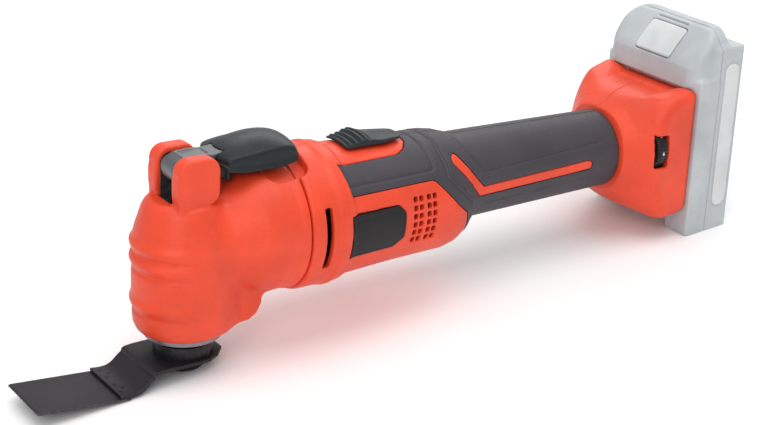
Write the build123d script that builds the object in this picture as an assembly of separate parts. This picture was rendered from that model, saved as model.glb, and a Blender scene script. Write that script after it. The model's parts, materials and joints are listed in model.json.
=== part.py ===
from build123d import *

import os
from math import cos, pi, radians, sin

# Oscillating multi tool with a quick-release accessory clamp and a slide-on battery, in millimetres.
# The spindle is the Z axis and the accessory seat is z = 0.  X runs back along the handle to the
# battery, and Y points to the tool's right.

# Clearances and walls
FIT = 0.03  # running fit, on the radius
GAP = 0.3  # between neighbouring pieces that move past each other
WALL = 2.6  # moulded wall
SKIN = 1.2  # rubber overmould

# Head
HEAD_R = 24.5
HEAD_BOTTOM = 12.0
HEAD_TOP = 78.0
NECK_TOP = 88.0
COVER_END = 50.4
EAR_IN, EAR_OUT = 7.5, 16.2
LINING_IN = EAR_IN - 0.65  # inner face of the core's lining of each ear
EAR_X0, EAR_X1, EAR_TOP = -10.0, 11.4, 100.8
CORE_R = 21.3

# Spindle and clamp
SPINDLE_R = 8.0
BORE_R = 5.1
FLANGE_R = 14.6
FLANGE_H = 6.5
SPINDLE_TOP = 62.0
BOLT_R = 5.0
BOLT_TOP = 38.0
PIVOT_Z = 91.0
PIVOT_R = 3.0
CAM_LOW, CAM_LIFT, CAM_TURN = 5.5, 4.0, 120.0

# Drive
MOTOR_Z = 58.0
SHAFT_R = 4.0
THROW = 0.6  # eccentricity
ECCENTRIC_R = 6.0
ECCENTRIC_BEARING_R = 8.0
JAW_IN = 9.8  # half the fork's opening

# Housing: (x, radius) stations of the motor body about the motor's axis, and the handle's cone
MOTOR_BODY = [(75.0, 33.4), (107.0, 31.7), (138.0, 30.9), (144.0, 29.6), (149.0, 27.0), (154.0, 22.5),
              (158.0, 16.0)]
HANDLE_X0, HANDLE_X1, HANDLE_Z = 140.0, 251.0, 62.6
HANDLE_R0, HANDLE_R1 = 22.9, 20.5
COLLAR_X0, COLLAR_X1, COLLAR_R = 51.0, 75.4, 35.3
GRIP_END = 249.0
FOOT_X0, FOOT_X1, FOOT_Y = 249.0, 288.0, 36.0
FOOT_SIDE = [(249.0, 39.0), (270.8, 27.4), (285.7, 29.0), (288.0, 32.6), (288.0, 98.0), (283.0, 99.6),
             (249.0, 87.0)]

# Battery
BATTERY_X0, BATTERY_SPLIT, BATTERY_X1 = 288.3, 302.0, 318.5
BATTERY_Y = 37.7
BATTERY_BOTTOM = 16.0
BATTERY_SHOULDER = 121.0
CELL_R, CELL_LENGTH, CELL_X, CELL_PITCH, CELLS = 9.2, 65.0, 304.6, 19.4, 5


def block(x0, x1, y0, y1, z0, z1):
    return Pos((x0 + x1) / 2, (y0 + y1) / 2, (z0 + z1) / 2) * Box(x1 - x0, y1 - y0, z1 - z0)


def bar_x(x0, x1, radius, y=0.0, z=MOTOR_Z):
    return Pos((x0 + x1) / 2, y, z) * Rot(0, 90, 0) * Cylinder(radius, x1 - x0)


def bar_y(y0, y1, radius, x, z):
    return Pos(x, (y0 + y1) / 2, z) * Rot(90, 0, 0) * Cylinder(radius, y1 - y0)


def bar_z(z0, z1, radius, x=0.0, y=0.0):
    return Pos(x, y, (z0 + z1) / 2) * Cylinder(radius, z1 - z0)


def side_plate(points, y0, y1):
    """A polygon in the XZ plane, thick from y0 to y1."""
    face = make_face(Polyline([Vector(x, y0, z) for x, z in points], close=True))
    return extrude(face, amount=y1 - y0, dir=(0, 1, 0))


def plan_plate(points, z0, z1):
    """A polygon in the XY plane, thick from z0 to z1."""
    face = make_face(Polyline([Vector(x, y, z0) for x, y in points], close=True))
    return extrude(face, amount=z1 - z0, dir=(0, 0, 1))


def turned_z(profile):
    """A solid of revolution about Z from (radius, z) points."""
    face = make_face(Polyline([Vector(r, 0, z) for r, z in profile], close=True))
    return revolve(face, Axis.Z)


def round_loft(stations, shrink=0.0):
    """A smooth body through circles at (x, radius, axis z) stations."""
    return loft([Plane(origin=(x, 0, z), z_dir=(1, 0, 0)) * Circle(r - shrink) for x, r, z in stations])


def round_body(shrink=0.0, overrun=0.0):
    """The motor body and the handle that grows out of it, moved inwards by the shrink."""
    profile = [(x, r - shrink) for x, r in MOTOR_BODY]
    profile[0] = (MOTOR_BODY[0][0] - overrun, profile[0][1])
    ends = [(profile[-1][0], 0.0), (profile[0][0], 0.0)]
    face = make_face(Polyline([Vector(x, 0, MOTOR_Z + r) for x, r in profile + ends], close=True))
    motor = revolve(face, Axis((0, 0, MOTOR_Z), (1, 0, 0)))
    length = HANDLE_X1 + overrun - HANDLE_X0
    middle = HANDLE_X0 + length / 2
    cone = Pos(middle, 0, HANDLE_Z) * Rot(0, 90, 0) * Cone(HANDLE_R0 - shrink, HANDLE_R1 - shrink, length)
    return motor + cone


def mirrored(shape):
    return mirror(shape, Plane.XZ)


def bearing(bore_r, outer_r, width):
    """A ball bearing standing on z = 0: inner ring, outer ring and balls."""
    ring = (outer_r - bore_r) * 0.28
    inner = bar_z(0, width, bore_r + ring) - bar_z(0, width, bore_r + FIT)
    outer = bar_z(0, width, outer_r - FIT) - bar_z(0, width, outer_r - ring)
    ball_r = (outer_r - bore_r - 2 * ring) / 2 - 0.05
    mid_r = (outer_r + bore_r) / 2
    count = int(2 * pi * mid_r / (2.8 * ball_r))
    balls = [Rot(0, 0, 360 * i / count) * Pos(mid_r, 0, width / 2) * Sphere(ball_r) for i in range(count)]
    return [inner, outer, *balls]


def bearing_x(x0, bore_r, outer_r, width, z=MOTOR_Z):
    return [Pos(x0, 0, z) * Rot(0, 90, 0) * piece for piece in bearing(bore_r, outer_r, width)]


# ---------------------------------------------------------------- head

CORE_PROFILE = [(CORE_R, 16.0), (CORE_R, 58.0), (18.6, 64.5), (16.2, 70.0), (14.0, 76.0)]
NECK_CORE = [(14.0, 20.5, 57.0), (28.0, 26.0, 58.0), (COVER_END + 1.1, 27.0, 58.0)]
NECK_ROOM = [(17.0, 19.0, 57.3), (28.0, 23.0, 58.0), (46.0, 23.5, 58.0)]
MOUNT_X0, MOUNT_X1 = 46.0, 54.0  # motor mount plate


def core_turned(grow=0.0):
    """The metal core inside the head, made larger all round by grow."""
    profile = [(r + grow, z) for r, z in CORE_PROFILE]
    bottom, top = CORE_PROFILE[0][1] - grow, CORE_PROFILE[-1][1] + grow
    profile[0] = (profile[0][0], bottom)
    profile[-1] = (profile[-1][0], top)
    return turned_z([(0, bottom), *profile, (0, top)])


def ears():
    """The two lugs that hold the lever's pin."""
    corners = [(EAR_X0, 66), (EAR_X1, 66), (EAR_X1, EAR_TOP), (EAR_X0, EAR_TOP)]
    outline = side_plate(corners, -EAR_OUT, EAR_OUT)
    outline = fillet(outline.edges().filter_by(Axis.Y).group_by(Axis.Z)[-1], 7.0)
    return outline - block(-30, 30, -EAR_IN, EAR_IN, HEAD_TOP, 110)


def ear_linings():
    """Two thin lugs of the core that line the ears; the lever turns between them."""
    corners = [(-8, 74), (9, 74), (9, 98.5), (-8, 98.5)]
    lugs = side_plate(corners, -EAR_IN + 0.05, EAR_IN - 0.05)
    lugs = fillet(lugs.edges().filter_by(Axis.Y).group_by(Axis.Z)[-1], 5.0)
    lugs -= block(-30, 30, -LINING_IN, LINING_IN, 73, 110)
    return lugs - bar_y(-20, 20, PIVOT_R + 0.3, 0, PIVOT_Z)


def head_cover():
    head = turned_z([(0, HEAD_BOTTOM), (20.6, HEAD_BOTTOM), (HEAD_R, 16), (HEAD_R, 58), (22.9, 64), (21.3, 69),
                     (18.4, 76.5), (16.6, HEAD_TOP), (0, HEAD_TOP)])
    neck = round_loft([(2, 20, 54), (18, 25.5, 56.5), (36, 32.6, 58), (COVER_END, 33, 58)])
    neck -= block(-30, 60, -40, 40, NECK_TOP, 110)
    neck -= block(-30, 20, -EAR_IN, EAR_IN, HEAD_TOP, 110)
    chin = side_plate([(15, HEAD_BOTTOM), (26, 11), (34, 15), (43.5, 21), (43.5, 40), (15, 40)], -11, 11)
    cover = head + neck + chin + ears()
    cover -= bar_z(HEAD_BOTTOM - 1, 16, 19.1)
    cover -= core_turned(0.3)
    cover -= round_loft(NECK_CORE, -0.3)
    cover -= bar_x(38, COVER_END + 1, 30)
    cover -= block(-9.5, 9.5, -EAR_IN, EAR_IN, 70, HEAD_TOP + 1)
    cover -= bar_y(-13.5, 13.5, PIVOT_R, 0, PIVOT_Z)
    cover -= bar_z(10, 13.2, 3.8, x=29.5)
    cover -= block(25, 34, -5, 5, 13.2, 15.2)
    return cover


def gear_housing():
    core = bar_z(HEAD_BOTTOM, 16, 18.8) + core_turned() + round_loft(NECK_CORE)
    core += bar_x(COVER_END + 1.1, MOUNT_X1, 30.2)
    core -= bar_z(HEAD_BOTTOM - 1, 21, 16)
    core -= bar_z(20.9, 50.5, 14.5)
    core -= bar_z(22, 50.5, 18.3)
    core -= bar_z(50.4, 60.5, 14)
    core -= bar_z(60.4, 73.5, 12)
    core -= bar_z(73, 77, 4.8)
    core -= round_loft(NECK_ROOM)
    core -= block(10, 20, -12.4, 12.4, FORK_Z0 - 1, FORK_Z1 + 0.5)
    core -= bar_x(MOUNT_X0 - 0.1, MOUNT_X1 + 1, 23.5)
    return core + ear_linings()


def bearing_retainer_ring():
    return bar_z(9.5, HEAD_BOTTOM, 19.1) - bar_z(9, HEAD_BOTTOM + 1, 8.6)


def motor_mount_plate():
    plate = bar_x(MOUNT_X0, MOUNT_X1, 23.45)
    plate -= bar_x(MOUNT_X0 - 1, MOUNT_X1 + 1, 6)
    plate -= bar_x(MOUNT_X0 + 1.5, MOUNT_X1 + 1, 11)
    return plate


def gear_housing_screws():
    """Four screws through the flange, heads at the back."""
    spots = [Rot(45 + 90 * i, 0, 0) * Pos(0, 26.9, 0) for i in range(4)]
    screw = bar_x(MOUNT_X1, MOUNT_X1 + 2, 2.6, z=0)
    return [Pos(0, 0, MOTOR_Z) * spot * screw for spot in spots]


def lamp_lens():
    return bar_z(10.2, 13.2, 3.8, x=29.5)


def lamp_board():
    return block(25.2, 33.8, -4.8, 4.8, 13.2, 14.8)


# ---------------------------------------------------------------- spindle and accessory

PIN_CIRCLE, PIN_R, PINS = 11.5, 1.3, 8
FORK_Z0, FORK_Z1 = 43.0, 50.0


def ring_of_pins(z0, z1, radius):
    return [Rot(0, 0, 360 * (i + 0.5) / PINS) * bar_z(z0, z1, radius, x=PIN_CIRCLE) for i in range(PINS)]


def output_spindle():
    outside = [(FLANGE_R, 0), (FLANGE_R, FLANGE_H), (12.4, FLANGE_H), (12.0, 2.4), (SPINDLE_R + 0.4, 2.4),
               (SPINDLE_R, 4), (SPINDLE_R, SPINDLE_TOP)]
    inside = [(6.4, SPINDLE_TOP), (6.4, 50), (BORE_R, 50), (BORE_R, 0)]
    spindle = turned_z(outside + inside)
    for pin in ring_of_pins(-1.3, 1, PIN_R):
        spindle += pin
    return spindle


def drive_fork():
    """Clamped on the spindle; its jaws reach up on both sides of the eccentric bearing."""
    fork = bar_z(FORK_Z0, FORK_Z1, 12.6)
    outline = [(0, 6), (6, 11.6), (26, 11.6), (28, 13.3), (38, 13.3), (38, JAW_IN), (27, JAW_IN), (22, 6)]
    arm = plan_plate(outline, FORK_Z0, FORK_Z1)
    jaw = block(28.5, 38, JAW_IN, 13.3, FORK_Z1 - 1, 66)
    side = arm + jaw
    fork += side + mirrored(side)
    fork -= bar_z(FORK_Z0 - 1, FORK_Z1 + 1, SPINDLE_R)
    return fork


def coil_spring(mean_r, wire_r, z0, turns, pitch):
    path = Helix(pitch=pitch, height=turns * pitch, radius=mean_r)
    section = Plane(origin=path @ 0, z_dir=path % 0) * Circle(wire_r)
    return Pos(0, 0, z0 + wire_r) * sweep(section, path=path, is_frenet=True)


def clamp_spring():
    return coil_spring(5.5, 0.5, 50.1, 6, 2.2)


def clamp_plunger():
    """The rod that the cam pushes down to open the clamp."""
    return bar_z(46, 84.8, 4.4) + bar_z(69, 72, 8)


def clamp_bolt():
    head = bar_z(-8, -1.6, 10)
    head = chamfer(head.edges().group_by(Axis.Z)[0], 1.2)
    shank = bar_z(-1.7, BOLT_TOP, BOLT_R)
    shank = chamfer(shank.edges().group_by(Axis.Z)[-1], 1.0)
    groove = bar_z(29, 32, BOLT_R + 1) - bar_z(28, 33, BOLT_R - 0.9)
    recess = extrude(Plane.XY.offset(-8.1) * RegularPolygon(3.0, 6), amount=3.5)
    return head + shank - groove - recess


BLADE_W = 17.2
STRIP_X0, STRIP_X1 = -82.8, -36.0
TOOTH = 1.72
STRIP_RISE = 4.3  # degrees
STRIP_Z = -11.0  # underside of the strip at its back end


def blade_hub():
    """The cranked plate between the flange and the strip."""
    top = [(18, 0), (-21, 0), (-33, -8.6), (-41, -8.0)]
    bottom = [(-41, -9.3), (-34, -10.0), (-21.6, -1.6), (18, -1.6)]
    plate = side_plate(top + bottom, -BLADE_W, BLADE_W)
    half = [(-42, BLADE_W), (2, BLADE_W), (13, 12), (17, 6)]
    outline = half + [(x, -y) for x, y in reversed(half)]
    plate = plate & plan_plate(outline, -20, 5)
    plate -= bar_z(-5, 1, BOLT_R + 0.4)
    for hole in ring_of_pins(-5, 1, PIN_R + 0.2):
        plate -= hole
    return plate


def blade_strip():
    """The toothed cutting strip, welded under the hub's front lip."""
    count = round(2 * BLADE_W / TOOTH)
    edge = [(STRIP_X1, -BLADE_W), (STRIP_X1, BLADE_W)]
    for i in range(count):
        y = BLADE_W - i * TOOTH
        edge += [(STRIP_X0 + 1.4, y), (STRIP_X0, y - TOOTH / 2)]
    edge.append((STRIP_X0 + 1.4, -BLADE_W))
    strip = plan_plate([(x - STRIP_X1, y) for x, y in edge], 0, 1.0)
    strip = Pos(STRIP_X1, 0, STRIP_Z) * Rot(0, STRIP_RISE, 0) * strip
    return strip - blade_hub()


# ---------------------------------------------------------------- quick-release lever


def lever_arm():
    """A cam whose radius grows evenly with the lever's turn, and the arm behind it."""
    steps = 12
    outline = []
    for i in range(steps + 1):
        angle = radians(-90 - CAM_TURN * i / steps)
        r = CAM_LOW + CAM_LIFT * i / steps
        outline.append((r * cos(angle), PIVOT_Z + r * sin(angle)))
    outline += [(-4, 99.6), (2, 100.3), (14, 100.2), (26, 100.6), (26, 96.2), (13, 95), (6, 88.6)]
    arm = side_plate(outline, -LINING_IN + 0.4, LINING_IN - 0.4)
    return arm - bar_y(-20, 20, PIVOT_R + FIT, 0, PIVOT_Z)


PADDLE_X0, PADDLE_X1, PADDLE_Y = 13.0, 54.5, 16.4


def lever_paddle():
    under = [(PADDLE_X0, 93.0), (48, 93.6), (PADDLE_X1, 95.0)]
    over = [(PADDLE_X1, 98.8), (50, 102), (41, 103.8), (28, 102.6), (14, 98.4)]
    half = [(PADDLE_X0, 8), (18, 15.5), (50, PADDLE_Y), (PADDLE_X1, 12)]
    plan = plan_plate(half + [(x, -y) for x, y in reversed(half)], 80, 110)
    paddle = side_plate(under + over, -PADDLE_Y, PADDLE_Y) & plan
    paddle += block(18.5, 21, -8, 8, 85.2, 94)
    return paddle - lever_arm()


def lever_pivot_pin():
    return bar_y(-13.5, 13.5, PIVOT_R, 0, PIVOT_Z)


# ---------------------------------------------------------------- motor

CAN_X0, CAN_X1, CAN_R = 68.0, 128.0, 22.0
SHAFT_X0, SHAFT_X1 = 27.5, 136.0


def motor_shaft():
    return bar_x(SHAFT_X0, SHAFT_X1, SHAFT_R)


def armature():
    """Laminated core with winding slots, and the winding heads."""
    core = bar_x(78, 106, 15)
    for i in range(10):
        core -= Pos(0, 0, MOTOR_Z) * Rot(36 * i, 0, 0) * block(77, 107, -0.8, 0.8, 9, 16)
    windings = bar_x(73, 111, 11.5)
    return core + windings - bar_x(60, 120, SHAFT_R)


def commutator():
    ring = bar_x(113, 122, 8)
    for i in range(12):
        ring -= Pos(0, 0, MOTOR_Z) * Rot(30 * i, 0, 0) * block(112, 123, -0.25, 0.25, 6.8, 9)
    return ring - bar_x(112, 123, SHAFT_R)


def cooling_fan():
    """A radial fan behind the vents of the collar."""
    fan = bar_x(64.5, 66, 26) + bar_x(58, 65, 7)
    for i in range(14):
        fan += Pos(0, 0, MOTOR_Z) * Rot(360 / 14 * i, 0, 0) * block(58, 65, -0.7, 0.7, 12, 26)
    fan += bar_x(58, 65, 13) - bar_x(57, 66, 11.8)
    return fan - bar_x(57, 67, SHAFT_R)


def eccentric():
    return bar_x(29, 38.5, ECCENTRIC_R, z=MOTOR_Z + THROW) - bar_x(28, 40, SHAFT_R)


def motor_can():
    can = bar_x(CAN_X0, CAN_X1, CAN_R) - bar_x(CAN_X0 + 1.5, CAN_X1 + 1, CAN_R - 2)
    can -= bar_x(CAN_X0 - 1, CAN_X0 + 2, 7)
    for i in range(6):
        can -= Pos(0, 0, MOTOR_Z) * Rot(60 * i, 0, 0) * block(112, 124, -4, 4, 18, 25)
    return can


def motor_magnets():
    ring = bar_x(74, 110, CAN_R - 2) - bar_x(73, 111, 16.2)
    return [ring & block(70, 112, -30, -4, 30, 90), ring & block(70, 112, 4, 30, 30, 90)]


def motor_end_cap():
    cap = bar_x(CAN_X1, 136.5, CAN_R) - bar_x(CAN_X1 - 1, 129.5, 17)
    cap -= bar_x(129, 135.5, 8)
    return cap - bar_x(120, 136.1, SHAFT_R + 0.4)


# ---------------------------------------------------------------- housing

SLOT_X0, SLOT_X1 = 90.0, 105.0  # the slider's slot in the top of the shells
SUPPORT_RIBS = [(70.0, 72.0), (125.0, 127.0)]
SCREWS = [(73.5, 29.5), (98.0, 30.8), (134.0, 31.6), (73.5, 86.5), (152.0, 45.5), (206.0, 50.5), (240.0, 51.0),
          (274.0, 36.5), (274.0, 86.0)]
BOSS_R, SCREW_R, SCREW_HEAD_R, SCREW_HEAD_Y = 3.6, 1.5, 3.0, 12.0
DIAL_X, DIAL_Y, DIAL_Z, DIAL_R, DIAL_W = 266.8, -24.3, 67.8, 12.4, 6.6
TONGUE_X1, TONGUE_Y, TONGUE_Z0, TONGUE_Z1 = 294.0, 20.0, 36.0, 96.0
LIP_X0, LIP_Y = 291.6, 24.0  # the tongue's side lips


def foot_outer():
    """The flare from the round handle to the battery seat."""
    side = side_plate(FOOT_SIDE, -FOOT_Y, FOOT_Y)
    half = [(FOOT_X0, 23), (262, FOOT_Y), (FOOT_X1, FOOT_Y)]
    plan = plan_plate(half + [(x, -y) for x, y in reversed(half)], 20, 110)
    rings = [Plane(origin=(x, 0, 63), z_dir=(1, 0, 0)) * Circle(r) for x, r in ((FOOT_X0, 22.0), (290.0, 74.0))]
    foot = side & plan & loft(rings, ruled=True)
    crown = block(FOOT_X0, 300, -FOOT_Y, FOOT_Y, 20, 97.6)
    crown += side_plate(FOOT_SIDE, -22, 22)
    return foot & crown


def foot_room():
    room = block(262, 285.4, -FOOT_Y + WALL, FOOT_Y - WALL, 40, 86)
    room += block(272, 285.4, -28, 28, 31, 96)
    room = room & (Pos(WALL * 1.3, 0, 0) * foot_outer()) & block(240, 285.4, -40, 40, 20, 96.8)
    return room + bar_x(245, 270, 15, z=63)


def battery_tongue():
    tongue = block(FOOT_X1 - 1, TONGUE_X1, -TONGUE_Y, TONGUE_Y, TONGUE_Z0, TONGUE_Z1)
    tongue += block(LIP_X0, TONGUE_X1, -LIP_Y, LIP_Y, TONGUE_Z0, TONGUE_Z1)
    return tongue - block(289.6, TONGUE_X1 + 1, -11.8, 11.8, 66, TONGUE_Z1 + 1)


def body_outer():
    return round_body() + bar_x(COLLAR_X0, COLLAR_X1, COLLAR_R) + foot_outer()


def body_room():
    room = round_body(WALL + 0.4) + bar_x(COLLAR_X0 - 1, 76, 30.5)
    for x0, x1 in SUPPORT_RIBS:
        room -= bar_x(x0, x1, 40) - bar_x(x0 - 1, x1 + 1, CAN_R + 0.05)
    room += block(88, 149, -4.6, 4.6, 75, 85.6) & round_body(WALL + 0.4)
    room += foot_room()
    for x, z in SCREWS:
        room -= bar_y(-40, 40, BOSS_R, x, z)
    return room


def rubber_layer():
    return round_body() - round_body(SKIN, overrun=0.5)


def stripe_region():
    """The rib of the shell that shows through the grip."""
    return side_plate([(141, 82), (158.5, 62.2), (228, 64.6), (230, 60.2), (157, 57.8), (138.5, 79)], -60, 60)


def rubber_region():
    """A panel on each side, the top behind the switch, and the handle down to the foot."""
    outline = [(72.6, 95), (74.8, 74.3), (123.6, 74.3), (144.2, 52.6), (151, 20), (GRIP_END, 20),
               (GRIP_END, 95)]
    half = [(60, 17.6), (109.7, 15.3), (115, 12.5), (118.8, 7.5), (120.7, 0)]
    surround = half + [(x, -y) for x, y in reversed(half[:-1])]
    return side_plate(outline, -60, 60) - plan_plate(surround, 70, 100)


def badge_region():
    return side_plate([(72.7, 44.4), (99, 44.4), (105, 49), (105, 62), (101, 66), (72.7, 66)], -60, 60)


def vent_cuts():
    """Two pairs of columns of square holes over the motor's brushes, and the collar's slots."""
    cuts = []
    for x in (111.5, 114.9, 119.7, 123.1):
        for row in range(6):
            cuts.append(block(x - 1.15, x + 1.15, -60, 60, 44.3 + 4.0 * row, 46.8 + 4.0 * row))
    cuts.append(block(59.5, 63.5, -60, 60, 41, 70))
    return cuts


def screw_holes():
    holes = Part()
    for x, z in SCREWS:
        holes += bar_y(-12, SCREW_HEAD_Y, SCREW_R, x, z)
        holes += bar_y(SCREW_HEAD_Y, 60, SCREW_HEAD_R + 0.2, x, z)
    return holes


def housing_shells():
    """The clamshell, and the rubber and badges that are let into its outside."""
    outer = body_outer()
    layer = rubber_layer()
    grip = (layer & rubber_region()) - stripe_region()
    badge = layer & badge_region()
    shell = outer - body_room()
    shell += battery_tongue()
    shell -= grip
    shell -= badge
    for cut in vent_cuts():
        shell -= cut
    holes = screw_holes()
    shell -= holes
    grip -= holes
    shell -= block(SLOT_X0, SLOT_X1, -4.3, 4.3, 80, 100)
    shell -= block(DIAL_X - 4.2, DIAL_X + 4.2, -40, -30, 59, 76.7)
    left = block(40, 300, -50, 0, 0, 120)
    right = block(40, 300, 0, 50, 0, 120)
    return {
        "left_housing_shell": shell & left,
        "right_housing_shell": shell & right,
        "left_grip": grip & left,
        "right_grip": grip & right,
        "left_badge": badge & left,
        "right_badge": badge & right,
    }


def housing_screws():
    screws = []
    for x, z in SCREWS:
        shank = bar_y(-12, SCREW_HEAD_Y, SCREW_R, x, z)
        head = bar_y(SCREW_HEAD_Y, SCREW_HEAD_Y + 2.2, SCREW_HEAD_R, x, z)
        screws.append(shank + head - bar_y(SCREW_HEAD_Y + 1.2, SCREW_HEAD_Y + 3, 1.1, x, z))
    return screws


# ---------------------------------------------------------------- controls

def switch_slider():
    """The thumb slider on top; it slides 7 mm forward to switch on."""
    outline = [(83, 92), (83, 93.4), (94.5, 96.4), (100, 94), (118.5, 91.6), (118.5, 90.6), (106, 92)]
    side = side_plate(outline, -10.5, 10.5)
    for i in range(3):
        side -= block(85.6 + 2.6 * i, 86.8 + 2.6 * i, -11, 11, 93.4 + 0.6 * i, 98)
    stem = block(98, 104, -3.8, 3.8, 85, 93)
    return side + stem


def switch_rod():
    """The bar that carries the slider's motion back to the switch."""
    rod = block(98, 147, -3.8, 3.8, 82.2, 85)
    rod += block(144, 147, -3.8, 3.8, 66, 85)
    return rod & round_body(WALL + 1.0)


def power_switch():
    return block(148.6, 176, -7, 7, 55, 73) + block(147.2, 148.6, -3, 3, 66, 70)


def speed_dial():
    wheel = bar_x(DIAL_X - DIAL_W / 2, DIAL_X + DIAL_W / 2, DIAL_R, y=DIAL_Y, z=DIAL_Z)
    for i in range(36):
        notch = block(DIAL_X - 5, DIAL_X + 5, -0.35, 0.35, DIAL_R - 0.5, DIAL_R + 1)
        wheel -= Pos(0, DIAL_Y, DIAL_Z) * Rot(10 * i + 5, 0, 0) * notch
    return wheel + bar_x(DIAL_X, 271.4, 2.4, y=DIAL_Y, z=DIAL_Z)


def speed_control_board():
    board = block(271.8, 273.4, -32, 10, 52, 81.8)
    board += block(273.4, 279, -30, -19, 61, 74)
    board += block(273.4, 281, -12, 2, 58, 78)
    return board - bar_x(270, 272.8, 2.6, y=DIAL_Y, z=DIAL_Z)


def terminal_block():
    """The tool's contacts, standing in the tongue's pocket and open upwards."""
    base = block(289.6, 293.9, -11.4, 11.4, 66, 69.5)
    blades = [block(290.2, 293.4, y - 0.4, y + 0.4, 69.5, 86) for y in (-8.4, -2.8, 2.8, 8.4)]
    return [base, *blades]


# ---------------------------------------------------------------- battery

HEAD_SIDE = [(283.4, 100.0), (283.4, 111.0), (300.0, 129.2), (303.0, 130.5), (308.5, 130.5), (308.5, 100.0)]
BUTTON_SIDE = [(284.4, 112.0), (297.4, 126.4)]
BUTTON_Y = 14.0
BUTTON_DEPTH = 3.2
BUTTON_DIR = Vector(cos(radians(-42.2)), 0, sin(radians(-42.2)))  # into the sloped face


def battery_outer():
    body = block(BATTERY_X0, BATTERY_X1, -BATTERY_Y, BATTERY_Y, BATTERY_BOTTOM, BATTERY_SHOULDER)
    body = fillet(body.edges().filter_by(Axis.Z).group_by(Axis.X)[-1], 7.0)
    head = side_plate(HEAD_SIDE, -BATTERY_Y, BATTERY_Y)
    half = [(283.4, 28), (292, 35), (300, BATTERY_Y), (310, BATTERY_Y)]
    return body + (head & plan_plate(half + [(x, -y) for x, y in reversed(half)], 90, 140))


def battery_room():
    half_y = BATTERY_Y - WALL
    bottom, top = BATTERY_BOTTOM + WALL, BATTERY_SHOULDER - WALL
    return block(BATTERY_X0 + 7, BATTERY_X1 - WALL, -half_y, half_y, bottom, top)


def tongue_slot():
    """The battery's channel for the tool's tongue, open at the bottom."""
    end, top = TONGUE_X1 + GAP, TONGUE_Z1 + GAP
    slot = block(BATTERY_X0 - 1, end, -TONGUE_Y - GAP, TONGUE_Y + GAP, 10, top)
    return slot + block(LIP_X0 - GAP, end, -LIP_Y - GAP, LIP_Y + GAP, 10, top)


def button_solid(depth0, depth1, half_y, inset):
    """A slab parallel to the sloped face, from depth0 outside it to depth1 inside."""
    (x0, z0), (x1, z1) = BUTTON_SIDE
    along = Vector(x1 - x0, 0, z1 - z0).normalized()
    low = Vector(x0, 0, z0) + along * inset
    high = Vector(x1, 0, z1) - along * inset
    outer = [low - BUTTON_DIR * depth0, high - BUTTON_DIR * depth0]
    corners = outer + [high + BUTTON_DIR * depth1, low + BUTTON_DIR * depth1]
    return side_plate([(p.X, p.Z) for p in corners], -half_y, half_y)


def battery_shells():
    shell = battery_outer() - battery_room() - tongue_slot()
    shell -= button_solid(2, 8.8, BUTTON_Y, 0)
    front = shell & block(280, BATTERY_SPLIT, -50, 50, 0, 140)
    rear = shell & block(BATTERY_SPLIT, 330, -50, 50, 0, 140)
    return {"battery_front_shell": front, "battery_rear_shell": rear}


def battery_button():
    return button_solid(0.6, BUTTON_DEPTH, BUTTON_Y - 0.35, 0.35)


def button_spring():
    """Drawn at its pressed length, fixed under the button."""
    (x0, z0), (x1, z1) = BUTTON_SIDE
    foot = Vector((x0 + x1) / 2, 0, (z0 + z1) / 2) + BUTTON_DIR * BUTTON_DEPTH
    place = Plane(origin=foot, z_dir=BUTTON_DIR)
    return place * coil_spring(3.0, 0.35, 0, 2, 0.75)


def cell_centres():
    middle = (BATTERY_BOTTOM + BATTERY_SHOULDER) / 2
    return [middle + CELL_PITCH * (i - (CELLS - 1) / 2) for i in range(CELLS)]


def battery_cells():
    return [bar_y(-CELL_LENGTH / 2, CELL_LENGTH / 2, CELL_R, CELL_X, z) for z in cell_centres()]


def cell_holder():
    """Two end frames that hold the cells apart."""
    frames = []
    for y0, y1 in ((-34.0, -24.0), (24.0, 34.0)):
        frame = block(297, 312, y0, y1, cell_centres()[0] - 5, cell_centres()[-1] + 5)
        for z in cell_centres():
            frame -= bar_y(y0 - 1, y1 + 1, CELL_R, CELL_X, z)
        frames += frame.solids()
    return frames


def battery_contacts():
    """The battery's contact block with a slit for each of the tool's blades."""
    contact = block(290.3, TONGUE_X1 + GAP, -11, 11, 72, 90)
    for y in (-8.4, -2.8, 2.8, 8.4):
        contact -= block(289, 293.9, y - 0.8, y + 0.8, 60, 87)
    return contact


def battery_screws():
    screws = []
    for y in (-33.8, 33.8):
        for z in (BATTERY_BOTTOM + WALL + 1.3, BATTERY_SHOULDER - WALL - 1.3):
            screws.append(bar_x(BATTERY_X0 + 8, BATTERY_X1 - WALL, 1.2, y, z))
    return screws


# ---------------------------------------------------------------- write


def write(name, shape):
    """Write one node; a list of pieces becomes a group of separate solids."""
    if isinstance(shape, (list, tuple)):
        shape = Compound([solid for piece in shape for solid in piece.solids()])
    export_step(shape, f"parts/{name}.step")


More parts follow.
